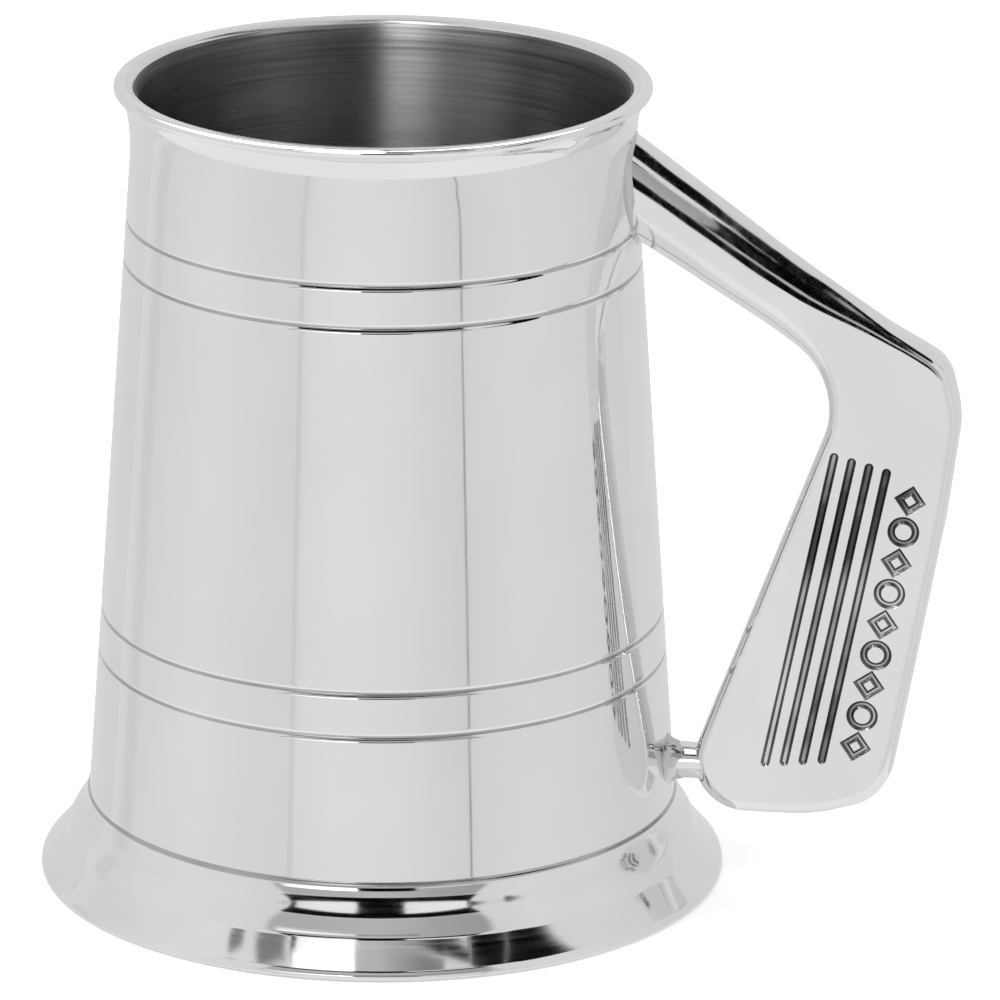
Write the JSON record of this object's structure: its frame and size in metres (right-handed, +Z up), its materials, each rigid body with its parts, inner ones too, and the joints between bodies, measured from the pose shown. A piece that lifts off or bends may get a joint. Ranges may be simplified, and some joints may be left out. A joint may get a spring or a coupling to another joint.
{
  "type": "pewter tankard",
  "caption": "Handled drinking mug with a tapered drum, flared lip, spun foot and a cast handle shaped like a golf iron, held to the drum by its hosel and a short strut.",
  "frame": {"origin": "centre of the foot's resting rim, on the drum's axis", "axes": "+Z up along the drum's axis, +X out towards the handle, and the golf iron's face looks along -Y"},
  "size_m": [0.1414, 0.106, 0.125],
  "materials": {
    "drum_pewter": "polished pewter outside with faint upright brushing, satin inside",
    "foot_pewter": "mirror-polished spun pewter",
    "cast_pewter": "polished cast pewter, slightly wavy, with darker marks",
    "satin_pewter": "satin, turned",
    "solder": "polished solder, slightly lumpy"
  },
  "bodies": {
    "root": {"drum": "drum_pewter", "floor_disc": "satin_pewter", "foot": "foot_pewter", "golf_iron_handle": "cast_pewter", "lower_strut": "cast_pewter", "hosel_solder": "solder", "strut_solder": "solder", "foot_solder": "solder", "floor_solder": "solder"}
  },
  "joints": []
}
